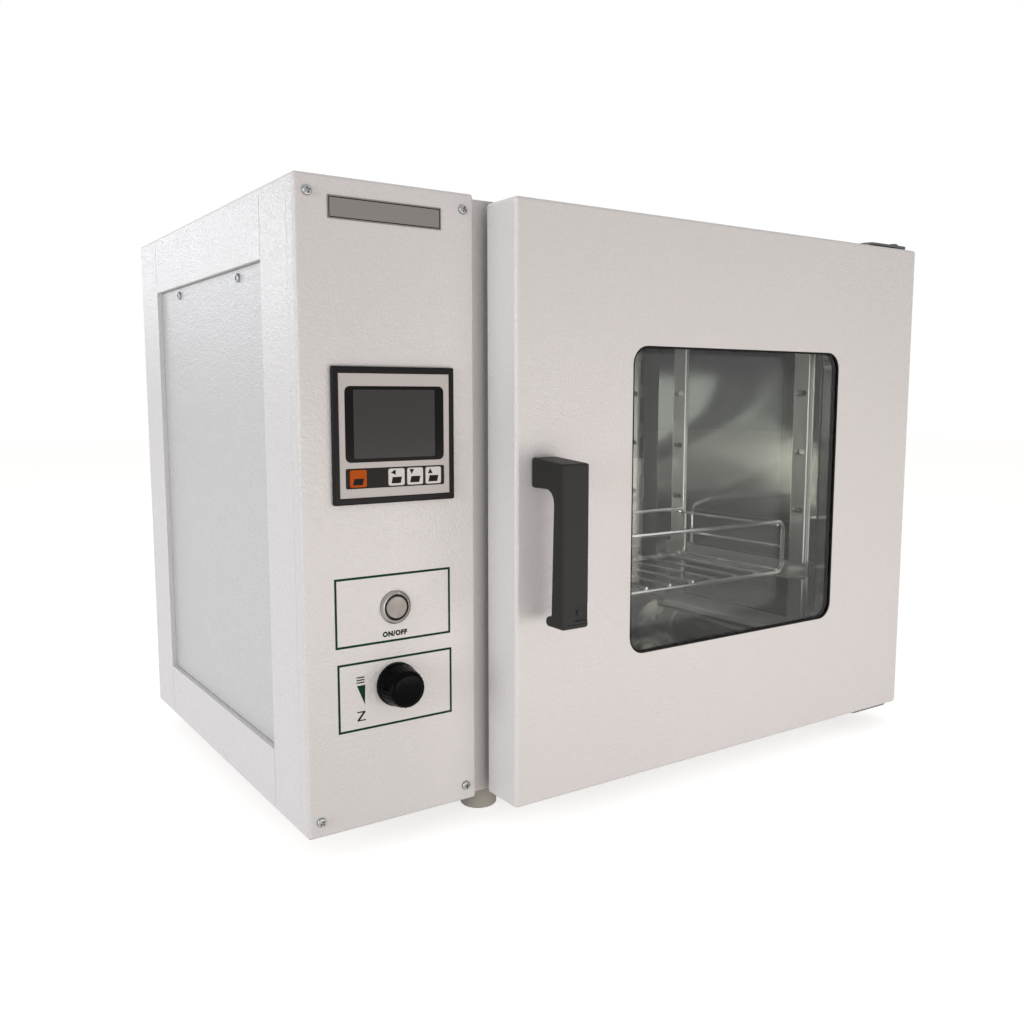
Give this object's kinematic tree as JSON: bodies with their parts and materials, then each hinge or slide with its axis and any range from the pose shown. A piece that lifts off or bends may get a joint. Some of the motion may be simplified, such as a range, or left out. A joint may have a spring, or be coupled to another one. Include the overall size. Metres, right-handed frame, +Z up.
{
  "type": "dry heat sterilizer",
  "caption": "Bench-top hot air sterilizer: insulated steel chamber with a windowed side-hinged door, pull handle, wire basket, fan and heater, beside a control column.",
  "frame": {"origin": "middle of the bounding box's footprint, on the surface that the feet stand on", "axes": "+X to the right along the front, from the control column to the door's hinge side; +Y to the back; +Z up"},
  "size_m": [0.63, 0.48, 0.486],
  "materials": {
    "white_coat": "warm white powder coat with a fine orange-peel texture",
    "grey_coat": "light grey powder coat",
    "stainless": "bright rolled stainless steel",
    "zinc": "zinc or nickel plated steel",
    "wool": "pressed mineral wool board",
    "black_plastic": "moulded black plastic",
    "gloss_black": "polished black phenolic",
    "handle_plastic": "dark grey glass-filled nylon, fine spark texture",
    "face_plastic": "light grey printed film",
    "orange_plastic": "orange key film",
    "white_plastic": "white key film",
    "display": "smoked acrylic display window",
    "silicone": "grey silicone rubber",
    "foot_rubber": "grey moulded rubber",
    "glass": "clear tempered glass, faint green"
  },
  "bodies": {
    "cabinet": {"base_pan": "grey_coat", "left_side_panel": "white_coat", "access_cover": "white_coat", "access_cover_screw_1": "zinc", "access_cover_screw_2": "zinc", "right_side_panel": "white_coat", "top_panel": "white_coat", "rear_panel": "grey_coat", "control_panel": "white_coat", "panel_screw_1": "zinc", "panel_screw_2": "zinc", "panel_screw_3": "zinc", "panel_screw_4": "zinc", "front_frame": "white_coat", "partition_wall": "zinc", "insulation_jacket": "wool", "chamber_liner": "stainless", "duct_plate": "stainless", "shelf_upright_front_left": "stainless", "shelf_upright_front_right": "stainless", "shelf_upright_rear_left": "stainless", "shelf_upright_rear_right": "stainless", "shelf_runner_left_1": "stainless", "shelf_runner_right_1": "stainless", "shelf_runner_left_2": "stainless", "shelf_runner_right_2": "stainless", "fan_motor": "zinc", "heater_element": "stainless", "temperature_probe": "stainless", "controller_case": "black_plastic", "controller_face": "face_plastic", "display_lens": "display", "key_strip": "black_plastic", "switch_body": "zinc", "air_duct": "zinc", "power_inlet": "black_plastic", "foot_front_left": "foot_rubber", "foot_front_right": "foot_rubber", "foot_rear_left": "foot_rubber", "foot_rear_right": "foot_rubber", "hinge_bracket_top": "zinc", "hinge_bracket_bottom": "zinc", "magnet_catch": "black_plastic"},
    "door": {"door_skin": "white_coat", "door_liner": "stainless", "door_insulation": "wool", "window_outer_glass": "glass", "window_inner_glass": "glass", "door_gasket": "silicone", "handle": "handle_plastic"},
    "basket": {"wire_basket": "stainless"},
    "fan": {"fan_wheel": "zinc", "fan_shaft": "zinc"},
    "air_door": {"damper_knob": "gloss_black", "damper_shaft": "zinc"},
    "power_button": {"switch_button": "zinc"},
    "set_key": {"key_1": "orange_plastic"},
    "left_key": {"key_2": "white_plastic"},
    "down_key": {"key_3": "white_plastic"},
    "up_key": {"key_4": "white_plastic"}
  },
  "joints": [
    {"name": "door_hinge", "type": "hinge", "parent": "cabinet", "child": "door", "pos_m": [0.301, -0.183, 0.2505], "axis": [0, 0, 1], "range_deg": [0, 120]},
    {"name": "basket_slide", "type": "slide", "parent": "cabinet", "child": "basket", "axis": [0, -1, 0], "range_m": [0, 0.045]},
    {"name": "fan_spin", "type": "hinge", "parent": "cabinet", "child": "fan", "pos_m": [0.076, 0.125, 0.2505], "axis": [0, 1, 0], "continuous": true},
    {"name": "air_door_turn", "type": "hinge", "parent": "cabinet", "child": "air_door", "pos_m": [-0.244, -0.163, 0.1259], "axis": [0, 1, 0], "range_deg": [0, 90]},
    {"name": "power_press", "type": "slide", "parent": "cabinet", "child": "power_button", "axis": [0, 1, 0], "range_m": [0, 0.0015], "stiffness_N_per_m": 600},
    {"name": "set_press", "type": "slide", "parent": "cabinet", "child": "set_key", "axis": [0, 1, 0], "range_m": [0, 0.0005], "stiffness_N_per_m": 900},
    {"name": "left_press", "type": "slide", "parent": "cabinet", "child": "left_key", "axis": [0, 1, 0], "range_m": [0, 0.0005], "stiffness_N_per_m": 900},
    {"name": "down_press", "type": "slide", "parent": "cabinet", "child": "down_key", "axis": [0, 1, 0], "range_m": [0, 0.0005], "stiffness_N_per_m": 900},
    {"name": "up_press", "type": "slide", "parent": "cabinet", "child": "up_key", "axis": [0, 1, 0], "range_m": [0, 0.0005], "stiffness_N_per_m": 900}
  ]
}
